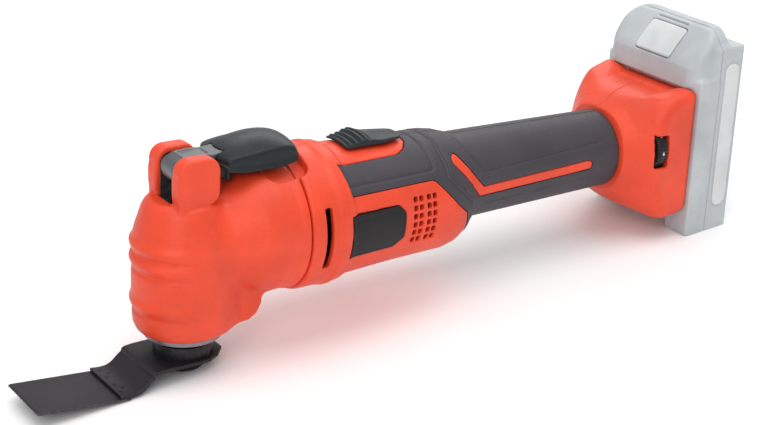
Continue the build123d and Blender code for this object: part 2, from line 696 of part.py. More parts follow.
def main():
    os.makedirs("parts", exist_ok=True)
    single = [head_cover, gear_housing, bearing_retainer_ring, motor_mount_plate, gear_housing_screws,
              lamp_lens, lamp_board, output_spindle, drive_fork, clamp_spring, clamp_plunger, clamp_bolt,
              blade_hub, blade_strip, lever_arm, lever_paddle, lever_pivot_pin, motor_shaft, armature,
              commutator, cooling_fan, eccentric, motor_can, motor_magnets, motor_end_cap, housing_screws,
              switch_slider, switch_rod, power_switch, speed_dial, speed_control_board, terminal_block,
              battery_button, button_spring, battery_cells, cell_holder, battery_contacts, battery_screws]
    for make in single:
        write(make.__name__, make())
    for group in (housing_shells(), battery_shells()):
        for name, shape in group.items():
            write(name, shape)
    write("lower_spindle_bearing", [Pos(0, 0, HEAD_BOTTOM) * piece for piece in bearing(SPINDLE_R, 16.0, 9.0)])
    write("upper_spindle_bearing", [Pos(0, 0, 52.5) * piece for piece in bearing(SPINDLE_R, 14.0, 8.0)])
    write("eccentric_bearing", bearing_x(30.0, ECCENTRIC_R, ECCENTRIC_BEARING_R, 7.0, MOTOR_Z + THROW))
    write("motor_front_bearing", bearing_x(MOUNT_X0 + 1.5, SHAFT_R, 11.0, 6.0))
    write("motor_rear_bearing", bearing_x(129.6, SHAFT_R, 8.0, 5.5))


main()
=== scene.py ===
import json
import math

import bpy
import numpy as np
from mathutils import Matrix, Vector


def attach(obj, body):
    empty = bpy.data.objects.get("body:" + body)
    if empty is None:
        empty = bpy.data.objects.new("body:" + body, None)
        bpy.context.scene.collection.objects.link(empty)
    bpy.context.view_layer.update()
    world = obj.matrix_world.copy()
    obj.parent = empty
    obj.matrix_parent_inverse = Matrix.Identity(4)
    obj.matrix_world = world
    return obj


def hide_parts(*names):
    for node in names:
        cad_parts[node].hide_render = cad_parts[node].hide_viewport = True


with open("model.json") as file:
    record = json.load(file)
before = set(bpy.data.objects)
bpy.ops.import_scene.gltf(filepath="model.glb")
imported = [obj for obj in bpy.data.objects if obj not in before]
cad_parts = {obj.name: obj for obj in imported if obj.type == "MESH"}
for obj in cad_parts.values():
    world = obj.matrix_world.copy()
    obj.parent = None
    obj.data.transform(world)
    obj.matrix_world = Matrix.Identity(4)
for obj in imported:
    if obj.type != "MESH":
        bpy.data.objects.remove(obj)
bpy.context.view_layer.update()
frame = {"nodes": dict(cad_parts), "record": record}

# Outer surfaces are signed distance fields in millimetres, in the CAD frame: X runs back along the
# handle, Y to the tool's right, Z up along the spindle.  A field is negative inside the piece.
MM = 0.001
FAR = 200.0
COARSE = 1.0  # mesh step factor

MOTOR_Z = 58.0
HANDLE_Z = 62.6
MOTOR_X = (50.0, 75.0, 107.0, 138.0, 144.0, 149.0, 154.0, 158.0, 170.0)
MOTOR_R = (33.6, 33.4, 31.7, 30.9, 29.6, 27.0, 22.5, 16.0, -10.0)
COLLAR_MID, COLLAR_HALF, COLLAR_R = 63.0, 12.2, 35.3
WALL = 3.8
RUBBER = 1.7
PROUD = 0.25  # how far rubber and badges stand above the shell
SEAM = 0.22
ARC = 27.0  # mm of surface for each radian round the body
SCREWS = ((73.5, 29.5), (98.0, 30.8), (134.0, 31.6), (73.5, 86.5), (152.0, 45.5), (206.0, 50.5),
          (240.0, 51.0), (274.0, 36.5), (274.0, 86.0))
SCREW_HOLE_R = 3.2
DIAL_X, DIAL_Y, DIAL_Z, DIAL_R = 266.8, -24.3, 67.8, 12.4
DIAL_SLOT_X = (262.4, 271.0)
TONGUE_Y, TONGUE_LIP_Y = 20.0, 24.0  # the battery's rail on the foot


# ---------------------------------------------------------------- fields

def smooth_union(a, b, k):
    h = np.clip(0.5 + 0.5 * (b - a) / k, 0, 1)
    return b + (a - b) * h - k * h * (1 - h)


def smooth_both(a, b, k):
    return -smooth_union(-a, -b, k)


def smooth_cut(a, b, k):
    return smooth_both(a, -b, k)


def slab(u, low, high):
    return np.maximum(low - u, u - high)


def rectangle(u, v, u0, u1, v0, v1, r):
    """A rectangle with corners of radius r."""
    du = np.abs(u - (u0 + u1) / 2) - (u1 - u0) / 2 + r
    dv = np.abs(v - (v0 + v1) / 2) - (v1 - v0) / 2 + r
    return np.hypot(np.maximum(du, 0), np.maximum(dv, 0)) + np.minimum(np.maximum(du, dv), 0) - r


def box(x, y, z, low, high, r):
    d = [np.abs(p - (a + b) / 2) - (b - a) / 2 + r for p, a, b in zip((x, y, z), low, high)]
    outside = np.sqrt(sum(np.maximum(e, 0) ** 2 for e in d))
    return outside + np.minimum(np.maximum(np.maximum(d[0], d[1]), d[2]), 0) - r


def segment(u, v, a, b):
    """Distance to the line from a to b."""
    du, dv = b[0] - a[0], b[1] - a[1]
    t = np.clip(((u - a[0]) * du + (v - a[1]) * dv) / (du * du + dv * dv), 0, 1)
    return np.hypot(u - a[0] - t * du, v - a[1] - t * dv)


def line(u, v, points):
    nearest = segment(u, v, points[0], points[1])
    for a, b in zip(points[1:-1], points[2:]):
        nearest = np.minimum(nearest, segment(u, v, a, b))
    return nearest


def polygon(u, v, points):
    """Signed distance to a closed polygon."""
    closed = list(points) + [points[0]]
    sign = 1.0
    for (u0, v0), (u1, v1) in zip(closed[:-1], closed[1:]):
        between = (v0 > v) != (v1 > v)
        slope = (u1 - u0) / (v1 - v0) if v1 != v0 else 0.0
        sign = np.where(between & (u < slope * (v - v0) + u0), -sign, sign)
    return line(u, v, closed) * sign


def groove(distance, depth, width):
    return depth * np.exp(-(distance / width) ** 2)


def curve_through(points, count=60):
    """x and y samples of a smooth (Catmull-Rom) curve through the points."""
    p = np.array([points[0]] + list(points) + [points[-1]], float)
    out = []
    for i in range(len(points) - 1):
        for t in np.linspace(0, 1, count // (len(points) - 1), endpoint=False):
            a, b, c, d = p[i:i + 4]
            out.append(0.5 * (2 * b + (c - a) * t + (2 * a - 5 * b + 4 * c - d) * t * t
                              + (3 * b - a - 3 * c + d) * t ** 3))
    out.append(p[-1])
    return [tuple(q) for q in out]


# ---------------------------------------------------------------- meshing

CORNERS = np.array([(i, j, k) for i in (0, 1) for j in (0, 1) for k in (0, 1)])
EDGES = [(a, b) for a in range(8) for b in range(a + 1, 8) if np.abs(CORNERS[a] - CORNERS[b]).sum() == 1]
NUDGE = 0.02


def gradient(field, p):
    columns = []
    for axis in range(3):
        step = np.zeros(3)
        step[axis] = NUDGE
        columns.append((field(*(p + step).T) - field(*(p - step).T)) / (2 * NUDGE))
    return np.stack(columns, 1)


def pull_to_surface(field, p, reach):
    slope = gradient(field, p)
    steep = np.maximum((slope ** 2).sum(1), 0.05)
    move = slope * (field(*p.T) / steep)[:, None]
    length = np.sqrt((move ** 2).sum(1))
    return p - move * np.minimum(1, reach / np.maximum(length, 1e-9))[:, None]


def relax(p, quads):
    """Each point moves halfway to the middle of its neighbours."""
    total = np.zeros_like(p)
    a = quads.ravel()
    b = np.roll(quads, 1, axis=1).ravel()
    count = np.bincount(a, minlength=len(p)) + np.bincount(b, minlength=len(p))
    for axis in range(3):
        total[:, axis] = (np.bincount(a, p[b, axis], len(p)) + np.bincount(b, p[a, axis], len(p)))
    return 0.5 * p + 0.5 * total / np.maximum(count, 1)[:, None]


def surface_net(field, low, high, step):
    """Quads over the zero surface of a field, pulled exactly onto it."""
    step = step * COARSE
    axes = [np.arange(a - step, b + 2 * step, step) for a, b in zip(low, high)]
    shape = tuple(len(a) for a in axes)
    x, y, z = axes[0][:, None, None], axes[1][None, :, None], axes[2][None, None, :]
    value = np.broadcast_to(field(x, y, z), shape)
    inside = value < 0
    corner_in = [inside[i:shape[0] - 1 + i, j:shape[1] - 1 + j, k:shape[2] - 1 + k] for i, j, k in CORNERS]
    total = sum(c.astype(np.int8) for c in corner_in)
    mixed = np.argwhere((total > 0) & (total < 8))
    index = np.full([n - 1 for n in shape], -1)
    index[tuple(mixed.T)] = np.arange(len(mixed))
    at = [value[tuple((mixed + c).T)] for c in CORNERS]
    points = np.zeros((len(mixed), 3))
    hits = np.zeros(len(mixed))
    for a, b in EDGES:
        crossing = (at[a] < 0) != (at[b] < 0)
        t = np.where(crossing, at[a] / np.where(crossing, at[a] - at[b], 1), 0)
        spot = CORNERS[a] + t[:, None] * (CORNERS[b] - CORNERS[a])
        points += np.where(crossing[:, None], spot, 0)
        hits += crossing
    points = (mixed + points / hits[:, None]) * step + [a[0] for a in axes]
    quads = []
    for axis in range(3):
        u, v = (axis + 1) % 3, (axis + 2) % 3
        ahead = np.roll(inside, -1, axis)
        change = np.argwhere(inside != ahead)
        keep = (change[:, u] > 0) & (change[:, v] > 0) & (change[:, axis] < shape[axis] - 1)
        keep &= (change[:, u] < shape[u] - 1) & (change[:, v] < shape[v] - 1)
        change = change[keep]
        around = []
        for du, dv in ((-1, -1), (0, -1), (0, 0), (-1, 0)):
            cell = change.copy()
            cell[:, u] += du
            cell[:, v] += dv
            around.append(index[tuple(cell.T)])
        quad = np.stack(around, 1)
        leaving = inside[tuple(change.T)]
        quads.append(np.where(leaving[:, None], quad, quad[:, ::-1]))
    quads = np.concatenate(quads)
    points = pull_to_surface(field, points, step)
    for _ in range(2):
        points = pull_to_surface(field, relax(points, quads), step * 0.5)
    return points, quads


def mesh_object(name, points, quads):
    """A smooth-shaded object from points in millimetres and quads."""
    mesh = bpy.data.meshes.new(name)
    mesh.vertices.add(len(points))
    mesh.vertices.foreach_set("co", (points * MM).astype(np.float32).ravel())
    mesh.loops.add(quads.size)
    mesh.loops.foreach_set("vertex_index", quads.astype(np.int32).ravel())
    mesh.polygons.add(len(quads))
    mesh.polygons.foreach_set("loop_start", np.arange(0, quads.size, 4, dtype=np.int32))
    mesh.polygons.foreach_set("use_smooth", np.ones(len(quads), bool))
    mesh.update(calc_edges=True)
    mesh.validate()
    obj = bpy.data.objects.new(name, mesh)
    bpy.context.scene.collection.objects.link(obj)
    return obj


def piece(name, field, low, high, step, body, finish, *nodes):
    """Meshes a field as a piece that rides on a body, takes a slot's finish and stands for CAD nodes."""
    obj = mesh_object(name, *surface_net(field, low, high, step))
    obj.data.materials.append(FINISHES[finish])
    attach(obj, body)
    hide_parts(*nodes)
    return obj


# ---------------------------------------------------------------- finishes

def blend_colour(tree, factor, low, high):
    mix = tree.nodes.new("ShaderNodeMix")
    mix.data_type = "RGBA"
    tree.links.new(factor, mix.inputs["Factor"])
    for key, value in (("A", low), ("B", high)):
        socket = [s for s in mix.inputs if s.name == key and s.type == "RGBA"][0]
        if isinstance(value, bpy.types.NodeSocket):
            tree.links.new(value, socket)
        else:
            socket.default_value = (*value, 1)
    return [s for s in mix.outputs if s.type == "RGBA"][0]


def spread(tree, value, from_low, from_high, to_low, to_high):
    node = tree.nodes.new("ShaderNodeMapRange")
    ends = {"From Min": from_low, "From Max": from_high, "To Min": to_low, "To Max": to_high}
    for key, number in ends.items():
        node.inputs[key].default_value = number
    tree.links.new(value, node.inputs["Value"])
    return node.outputs["Result"]


def noise(tree, vector, per_metre, detail):
    node = tree.nodes.new("ShaderNodeTexNoise")
    node.inputs["Scale"].default_value = per_metre
    node.inputs["Detail"].default_value = detail
    tree.links.new(vector, node.inputs["Vector"])
    return node.outputs["Fac"]


def finish(name, colour, rough, metal=0.0, grain=1500.0, bump=0.02, wear=0.15, stretch=(1, 1, 1), coat=0.0,
           alpha=1.0, shine=0.5):
    """A moulded, rubber or metal surface: slow colour change, fine grain and lighter worn edges."""
    material = bpy.data.materials.new(name)
    material.use_nodes = True
    tree = material.node_tree
    shader = tree.nodes["Principled BSDF"]
    place = tree.nodes.new("ShaderNodeTexCoord").outputs["Object"]
    scaled = tree.nodes.new("ShaderNodeMapping")
    scaled.inputs["Scale"].default_value = stretch
    tree.links.new(place, scaled.inputs["Vector"])
    slow = noise(tree, place, 38.0, 3.0)
    fine = noise(tree, scaled.outputs["Vector"], grain, 4.0)
    deep = tuple(c * 0.86 for c in colour)
    light = tuple(min(1.0, c * 1.08 + 0.004) for c in colour)
    base = blend_colour(tree, spread(tree, slow, 0.3, 0.7, 0, 1), deep, light)
    base = blend_colour(tree, spread(tree, fine, 0.35, 0.75, 0, 0.22), base, tuple(c * 0.72 for c in colour))
    worn = tuple(min(1.0, c + wear) for c in colour)
    edge = tree.nodes.new("ShaderNodeNewGeometry").outputs["Pointiness"]
    patchy = tree.nodes.new("ShaderNodeMath")
    patchy.operation = "MULTIPLY"
    tree.links.new(spread(tree, edge, 0.53, 0.62, 0, 1), patchy.inputs[0])
    tree.links.new(spread(tree, noise(tree, place, 420.0, 2.0), 0.35, 0.65, 0.25, 1), patchy.inputs[1])
    base = blend_colour(tree, patchy.outputs[0], base, worn)
    tree.links.new(base, shader.inputs["Base Color"])
    tree.links.new(spread(tree, fine, 0.3, 0.7, rough - 0.07, rough + 0.07), shader.inputs["Roughness"])
    relief = tree.nodes.new("ShaderNodeBump")
    relief.inputs["Strength"].default_value = 0.5
    relief.inputs["Distance"].default_value = bump * MM
    tree.links.new(fine, relief.inputs["Height"])
    tree.links.new(relief.outputs["Normal"], shader.inputs["Normal"])
    shader.inputs["Metallic"].default_value = metal
    shader.inputs["Specular IOR Level"].default_value = shine
    shader.inputs["Coat Weight"].default_value = coat
    shader.inputs["Coat Roughness"].default_value = 0.25
    shader.inputs["Alpha"].default_value = alpha
    return material


def make_finishes():
    brushed = (1, 12, 12)
    return {
        "orange_plastic": finish("orange_plastic", (0.80, 0.062, 0.019), 0.44, grain=900, bump=0.03, wear=0.05,
                                 shine=0.4),
        "black_rubber": finish("black_rubber", (0.040, 0.036, 0.047), 0.55, grain=1300, bump=0.06, wear=0.03),
        "dark_plastic": finish("dark_plastic", (0.012, 0.017, 0.020), 0.38, grain=1100, bump=0.03, wear=0.04,
                               shine=0.25),
        "black_plastic": finish("black_plastic", (0.009, 0.008, 0.010), 0.42, grain=1200, bump=0.03, wear=0.03,
                                shine=0.25),
        "pale_plastic": finish("pale_plastic", (0.47, 0.50, 0.52), 0.5, grain=1000, bump=0.04, wear=0.05),
        "button_plastic": finish("button_plastic", (0.64, 0.66, 0.67), 0.42, grain=1000, bump=0.03, wear=0.05),
        "blade_steel": finish("blade_steel", (0.028, 0.025, 0.030), 0.5, 0.45, 700, 0.03, 0.10, brushed,
                              shine=0.25),
        "dark_steel": finish("dark_steel", (0.014, 0.013, 0.015), 0.42, 0.5, 900, 0.02, 0.12, shine=0.25),
        "steel": finish("steel", (0.52, 0.52, 0.53), 0.3, 1.0, 800, 0.02, 0.15, brushed),
        "lever_metal": finish("lever_metal", (0.15, 0.155, 0.165), 0.34, 0.75, 700, 0.03, 0.2, brushed),
        "dark_casting": finish("dark_casting", (0.026, 0.026, 0.029), 0.5, 0.4, 500, 0.08, 0.08),
        "aluminium": finish("aluminium", (0.55, 0.55, 0.57), 0.45, 0.9, 500, 0.08, 0.1),
        "ring_metal": finish("ring_metal", (0.24, 0.21, 0.24), 0.36, 0.6, 600, 0.03, 0.15),
        "copper": finish("copper", (0.72, 0.30, 0.14), 0.35, 1.0, 900, 0.05, 0.1, (12, 1, 12)),
        "contact_metal": finish("contact_metal", (0.78, 0.60, 0.30), 0.28, 1.0, 900, 0.02, 0.1),
        "magnet": finish("magnet", (0.06, 0.06, 0.065), 0.6, 0.3, 500, 0.08, 0.1),
        "board": finish("board", (0.02, 0.13, 0.05), 0.4, 0.0, 700, 0.02, 0.1, coat=0.4),
        "lens": finish("lens", (0.85, 0.90, 0.93), 0.12, 0.0, 300, 0.01, 0.1, coat=0.6, alpha=0.45),
        "cell_wrap": finish("cell_wrap", (0.06, 0.20, 0.34), 0.35, 0.0, 500, 0.02, 0.1, coat=0.3),
        "white_paint": finish("white_paint", (0.80, 0.80, 0.78), 0.5, 0.0, 900, 0.02, 0.05),
    }


FINISHES = make_finishes()


def dress_cad_nodes():
    """Gives every CAD node its slot's finish and soft edges."""
    slots = {}
    for part in frame["record"]["subparts"]:
        slots[part["node"]] = part["material_slot"]
    for node, obj in frame["nodes"].items():
        material = FINISHES[slots[node]]
        if not obj.data.materials:
            obj.data.materials.append(material)
        for i in range(len(obj.data.materials)):
            obj.data.materials[i] = material
        weld = obj.modifiers.new("weld", "WELD")
        weld.merge_threshold = 0.00001
        bevel = obj.modifiers.new("soft_edges", "BEVEL")
        bevel.width = 0.0002
        bevel.segments = 2
        bevel.limit_method = "ANGLE"
        bevel.angle_limit = math.radians(35)
        bevel.harden_normals = False


# ---------------------------------------------------------------- housing

# Lines on the body's outside, as (x, degrees round it from the middle of its side).
RUBBER_EDGE = ((72.6, 57.7), (109.7, 61.6), (115.0, 67.0), (118.8, 76.3), (120.7, 100.0), (262.0, 100.0),
               (262.0, -110.0), (152.0, -110.0), (150.5, -60.0), (147.0, -30.0), (144.2, -10.0),
               (125.6, 28.5), (123.6, 30.9), (74.8, 29.2))
PANEL_LINE = ((70.0, 37.0), (124.2, 39.7), (125.9, 41.7), (125.9, 61.7), (124.8, 81.0), (124.5, 95.0))
BAND_LINE = ((132.1, 95.0), (133.7, 70.0), (133.2, 55.5), (133.9, 39.0), (133.3, 30.0), (138.2, 20.0),
             (147.4, 0.0), (152.0, -20.0))
# Outlines seen from the side, as (x, z).
STRIPE = ((141.0, 79.5), (158.0, 60.4), (229.0, 62.4))
STRIPE_HALF = 2.6
UPPER_LINE = ((146.0, 92.0), (152.5, 81.0), (160.0, 70.3), (238.0, 72.8))
LOWER_LINES = (((160.5, 53.0), (186.0, 53.8)), ((193.0, 54.0), (230.0, 55.2)))
BADGE = ((72.7, 44.4), (99.0, 44.4), (105.0, 49.0), (105.0, 62.0), (101.0, 66.0), (72.7, 66.0))
VENT_X = (111.5, 114.9, 119.7, 123.1)
VENT_Z = [45.5 + 4.25 * row for row in range(6)]
FOOT_SIDE = ((246.0, 42.0), (258.0, 33.0), (270.8, 27.4), (285.7, 29.0), (290.0, 32.6), (290.0, 98.0),
             (283.0, 99.6), (268.0, 95.0), (246.0, 85.0))


def body_angle(x, y, z):
    """Millimetres round the body from the middle of its side, upwards."""
    axis_z = np.interp(x, (138, 158), (MOTOR_Z, HANDLE_Z))
    return np.arctan2(z - axis_z, np.abs(y)) * ARC


def round_the_body(points):
    """(x, degrees) points as (x, millimetres round)."""
    return [(x, math.radians(a) * ARC) for x, a in points]


def barrel(x, y, z):
    """The motor body and the handle, without its foot and collar."""
    motor = np.hypot(y, z - MOTOR_Z) - np.interp(x, MOTOR_X, MOTOR_R)
    handle = np.hypot(y, z - HANDLE_Z) - np.interp(x, (140, 251), (22.9, 20.5))
    handle = np.maximum(handle, 132 - x)
    return smooth_union(motor, handle, 5.0)


def foot(x, y, z):
    """The flare from the round handle to the battery seat."""
    side = polygon(x, z, FOOT_SIDE)
    plan = polygon(x, np.abs(y), ((240, -5), (240, 20), (250, 24), (262, 35.6), (290, 36), (290, -5)))
    flare = np.hypot(y, z - 63) - np.interp(x, (249, 256, 290), (22.5, 29, 78))
    shape = smooth_both(smooth_both(side, plan, 7.0), flare, 8.0)
    shoulder = z - 97.4 + np.clip((22 - np.abs(y)) * 0.5, -8, 2.4)
    shape = smooth_both(shape, shoulder, 3.0)
    swell = (np.sqrt(((x - 266) / 18) ** 2 + (y / 29) ** 2 + ((z - 62) / 25) ** 2) - 1) * 18
    return np.maximum(smooth_union(shape, swell, 9.0), 249.6 - x)


def collar(x, y, z):
    radius = np.hypot(y, z - MOTOR_Z)
    ring = smooth_both(radius - COLLAR_R, np.abs(x - COLLAR_MID) - COLLAR_HALF, 3.0)
    lip = smooth_both(radius - COLLAR_R - 0.6, slab(x, 66.4, 69.6), 2.0)
    return smooth_union(ring, lip, 2.0)


def slot_indent(x, y, z):
    """The shallow dish that each collar slot sits in."""
    dish = np.hypot(x - 60.2, np.maximum(np.abs(z - 56.5) - 15.5, 0) * 0.8)
    return groove(dish, 0.7, 4.0)


def outer_skin(x, y, z):
    whole = smooth_union(barrel(x, y, z), foot(x, y, z), 4.0)
    whole = smooth_union(whole, collar(x, y, z), 2.5)
    whole = smooth_cut(whole, finger_scoop(x, y, z), 0.9)
    return np.maximum(np.maximum(whole, x - 287.9), 51 - x)


def rubber_region(x, y, z):
    """Negative over the moulded-on rubber: side panels, the top behind the switch, and the handle."""
    region = polygon(x, body_angle(x, y, z), round_the_body(RUBBER_EDGE))
    region = np.maximum(region, x - 250.2)
    stripe = line(x, z, STRIPE) - STRIPE_HALF
    return smooth_cut(region, np.maximum(stripe, 8 - np.abs(y)), 0.6)


def rubber_relief(x, y, z):
    round_mm = body_angle(x, y, z)
    depth = groove(line(x, round_mm, round_the_body(PANEL_LINE)), 0.75, 0.6)
    band = line(x, round_mm, round_the_body(BAND_LINE))
    depth = depth + groove(band - 0.9, 0.5, 0.45) - groove(band, 0.25, 0.6)
    side = np.clip((np.abs(y) - 4) / 3, 0, 1)
    upper = line(x, z, UPPER_LINE)
    depth = depth + side * groove(upper, 0.7, 0.6)
    for run in LOWER_LINES:
        depth = depth + side * groove(line(x, z, run), 0.5, 0.5)
    return depth


def screw_holes(x, y, z):
    holes = FAR
    for sx, sz in SCREWS:
        holes = np.minimum(holes, np.hypot(x - sx, z - sz) - SCREW_HOLE_R)
    return np.maximum(holes, 12 - y)


def shell_field(side):
    """One half of the clamshell: hollow, with its vents, slots, seats and the battery tongue."""
    def field(x, y, z):
        skin = outer_skin(x, y, z)
        shape = smooth_cut(skin + slot_indent(x, y, z), rubber_region(x, y, z) - SEAM, 0.4)
        shape = np.minimum(shape, skin + RUBBER)
        badge = polygon(x, z, BADGE) - SEAM
        shape = smooth_cut(shape, np.maximum(np.maximum(badge, -skin - 1.5), 18 - np.abs(y)), 0.4)
        inside = np.maximum(skin + WALL, x - 284)
        front_room = np.maximum(np.maximum(np.hypot(y, z - MOTOR_Z) - 30.5, x - 72), skin + 2.2)
        shape = smooth_cut(shape, np.minimum(inside, front_room), 0.5)
        dx = np.min([np.abs(x - c) for c in VENT_X], axis=0)
        dz = np.min([np.abs(z - c) for c in VENT_Z], axis=0)
        vents = np.hypot(np.maximum(dx - 0.7, 0), np.maximum(dz - 0.85, 0)) - 0.6
        vents = np.maximum(vents, slab(z, VENT_Z[0] - 2, VENT_Z[-1] + 2))
        shape = smooth_cut(shape, vents, 0.5)
        slots = np.maximum(rectangle(x, z, 58.3, 62.1, 41.0, 72.0, 0.6), 20 - np.abs(y))
        shape = smooth_cut(shape, slots, 0.5)
        thumb = np.maximum(rectangle(x, y, 90, 105, -4.3, 4.3, 1.0), 80 - z)
        shape = smooth_cut(shape, thumb, 0.5)
        tongue = box(x, y, z, (280, -TONGUE_Y, 36), (294, TONGUE_Y, 96), 0.8)
        lips = box(x, y, z, (291.8, -TONGUE_LIP_Y, 36), (294, TONGUE_LIP_Y, 96), 0.6)
        pocket = box(x, y, z, (289.6, -11.8, 66), (300, 11.8, 100), 0.5)
        shape = np.minimum(shape, smooth_cut(np.minimum(tongue, lips), pocket, 0.4))
        if side < 0:
            window = rectangle(x, z, *DIAL_SLOT_X, 58.8, 76.8, 1.2)
            shape = smooth_cut(shape, np.maximum(window, y + 26), 0.8)
            well = np.hypot(y - DIAL_Y, z - DIAL_Z) - DIAL_R - 0.7
            shape = smooth_cut(shape, np.maximum(well, slab(x, *DIAL_SLOT_X)), 0.4)
        else:
            shape = smooth_cut(shape, screw_holes(x, y, z), 0.5)
        return smooth_both(shape, 0.04 - side * y, 0.3)
    return field


def grip_field(side):
    """The rubber of one half, a little proud of the shell."""
    def field(x, y, z):
        skin = smooth_union(barrel(x, y, z), collar(x, y, z) + 0.4, 0.5)
        shape = np.maximum(skin - PROUD + rubber_relief(x, y, z), -(barrel(x, y, z) + RUBBER - 0.1))
        shape = smooth_both(shape, rubber_region(x, y, z) + 0.05, 0.7)
        if side > 0:
            shape = smooth_cut(shape, screw_holes(x, y, z), 0.4)
        return smooth_both(shape, 0.06 - side * y, 0.3)
    return field


def badge_field(side):
    """A plain raised plate in its seat."""
    def field(x, y, z):
        skin = outer_skin(x, y, z)
        plate = np.maximum(np.hypot(y, z - MOTOR_Z) - np.interp(x, (72, 105), (35.2, 32.5)), -skin - 1.4)
        rim = polygon(x, z, BADGE)
        plate = smooth_both(plate - groove(rim + 0.7, 0.25, 0.5), rim + 0.05, 0.6)
        return np.maximum(plate, 18 - side * y)
    return field


def make_housing():
    for side, name in ((-1, "left"), (1, "right")):
        y0, y1 = (-38, 0) if side < 0 else (0, 38)
        piece(f"{name}_shell_visual", shell_field(side), (50, y0, 21), (295, y1, 101), 0.72, "housing",
              "orange_plastic", f"{name}_housing_shell")
        piece(f"{name}_grip_visual", grip_field(side), (71, y0, 36), (251, y1, 93), 0.62, "housing",
              "black_rubber", f"{name}_grip")
        b0, b1 = (-36, -20) if side < 0 else (20, 36)
        piece(f"{name}_badge_visual", badge_field(side), (72, b0, 43), (106, b1, 67), 0.5, "housing",
              "black_plastic", f"{name}_badge")


# ---------------------------------------------------------------- head

HEAD_Z = (10.0, 12.0, 14.0, 17.0, 24.0, 40.0, 58.0, 64.0, 69.0, 74.0, 76.5, 78.0)
HEAD_RADII = (19.0, 20.8, 22.8, 24.0, 24.5, 24.5, 24.3, 22.9, 21.3, 19.6, 18.2, 16.4)
RIDGES = (57.5, 49.5, 28.5)


def finger_scoop(x, y, z):
    """The dished sector under the paddle's tip, for the finger that lifts it."""
    round_mm = np.arctan2(np.abs(y), z - MOTOR_Z) * 33
    plan = rectangle(x, round_mm, 36.0, 57.2, -40.0, 21.0, 6.0)
    return smooth_both(plan, 30.6 - np.hypot(y, z - MOTOR_Z), 1.0)


def head_outer(x, y, z):
    """The head's barrel with its ridges, the neck behind it, the chin and the two lever ears."""
    front = np.clip((np.degrees(np.arctan2(np.abs(y), -x)) - 50) / 45, 0, 1)
    front = 1 - front * front * (3 - 2 * front)
    radius = np.interp(z, HEAD_Z, HEAD_RADII)
    for ridge in RIDGES:
        radius = radius + front * (groove(z - ridge, 1.0, 2.3) - groove(z - ridge + 4.6, 0.9, 1.3))
    head = smooth_both(np.hypot(x, y) - radius, slab(z, 12, 78.6), 1.5)
    middle = np.interp(x, (0, 18, 36), (53.0, 56.5, MOTOR_Z))
    neck = np.hypot(y, z - middle) - np.interp(x, (-2, 8, 18, 30, 38, 51), (17.5, 21, 25.5, 31, 33, 33.4))
    neck = np.maximum(neck, -x - 4)
    neck = smooth_both(neck, z - 88.2, 2.5)
    whole = smooth_union(head, neck, 5.0)
    chin_side = polygon(x, z, ((10, 12.6), (22, 12.4), (30, 12.8), (34.5, 15.2), (37.4, 20.0), (38.2, 26.0),
                               (46, 30), (46, 45), (10, 45)))
    chin = smooth_both(chin_side, np.abs(y) - np.interp(x, (14, 24, 40), (17, 13.5, 11.5)), 4.0)
    whole = smooth_union(whole, chin, 4.5)
    collar_edge = smooth_both(np.hypot(y, z - MOTOR_Z) - 33.8, slab(x, 46.4, 50.6), 1.6)
    whole = smooth_union(whole, collar_edge, 1.2)
    ear_side = rectangle(x, z, -10.0, 11.4, 77.5, 100.8, 6.8)
    tail = rectangle(x, z, -10.0, -1.6, 64.5, 92.0, 2.6)
    ear_side = smooth_union(ear_side, tail, 2.0)
    ear = smooth_both(ear_side, np.abs(np.abs(y) - 11.9) - 4.3, 2.0)
    return smooth_union(whole, ear, 1.0)


def head_field(x, y, z):
    outer = head_outer(x, y, z)
    outer = smooth_cut(outer, finger_scoop(x, y, z), 0.9)
    shape = np.maximum(outer, -(outer + 2.6))
    shape = smooth_cut(shape, np.maximum(np.hypot(x, y) - 19.1, z - 20), 0.5)
    room = np.maximum(np.hypot(y, z - MOTOR_Z) - 30.2, 40 - x)
    shape = smooth_cut(shape, np.maximum(room, outer + 2.2), 0.4)
    gap = box(x, y, z, (-16, -7.5, 78.4), (16, 7.5, 112), 0.8)
    shape = smooth_cut(shape, gap, 0.6)
    cam_slot = box(x, y, z, (-9.5, -7.5, 70), (9.5, 7.5, 84), 0.8)
    shape = smooth_cut(shape, cam_slot, 0.4)
    lamp = np.maximum(np.hypot(x - 29.5, y) - 3.9, z - 16)
    shape = smooth_cut(shape, lamp, 0.4)
    return np.maximum(shape, x - 50.4)


CAM_LOW, CAM_LIFT, CAM_TURN, PIVOT_Z = 5.5, 4.0, 120.0, 91.0


def lever_arm_outline():
    """The cam, whose radius grows evenly, and the arm behind it."""
    points = []
    steps = 24
    for i in range(steps + 1):
        angle = math.radians(-90 - CAM_TURN * i / steps)
        r = CAM_LOW + CAM_LIFT * i / steps
        points.append((r * math.cos(angle), PIVOT_Z + r * math.sin(angle)))
    arm = [(-6.5, 97.4), (-2.5, 99.2), (4, 99.6), (12, 99.0), (24, 100.2), (24, 96.0), (13, 94.6), (6.5, 89.5)]
    return points + arm


def lever_arm_field(x, y, z):
    """The cam is as wide as the gap between the ears; the arm behind it has a raised rim."""
    arm = smooth_both(polygon(x, z, lever_arm_outline()), np.abs(y) - 6.4, 1.4)
    dish = smooth_both(np.abs(y) - 4.1, np.abs(x - 5) - 6.0, 1.5)
    arm = smooth_cut(arm, smooth_both(dish, 98.4 - z + 0.02 * x, 0.8), 0.8)
    return smooth_cut(arm, np.hypot(x, z - PIVOT_Z) - 3.03, 0.2)


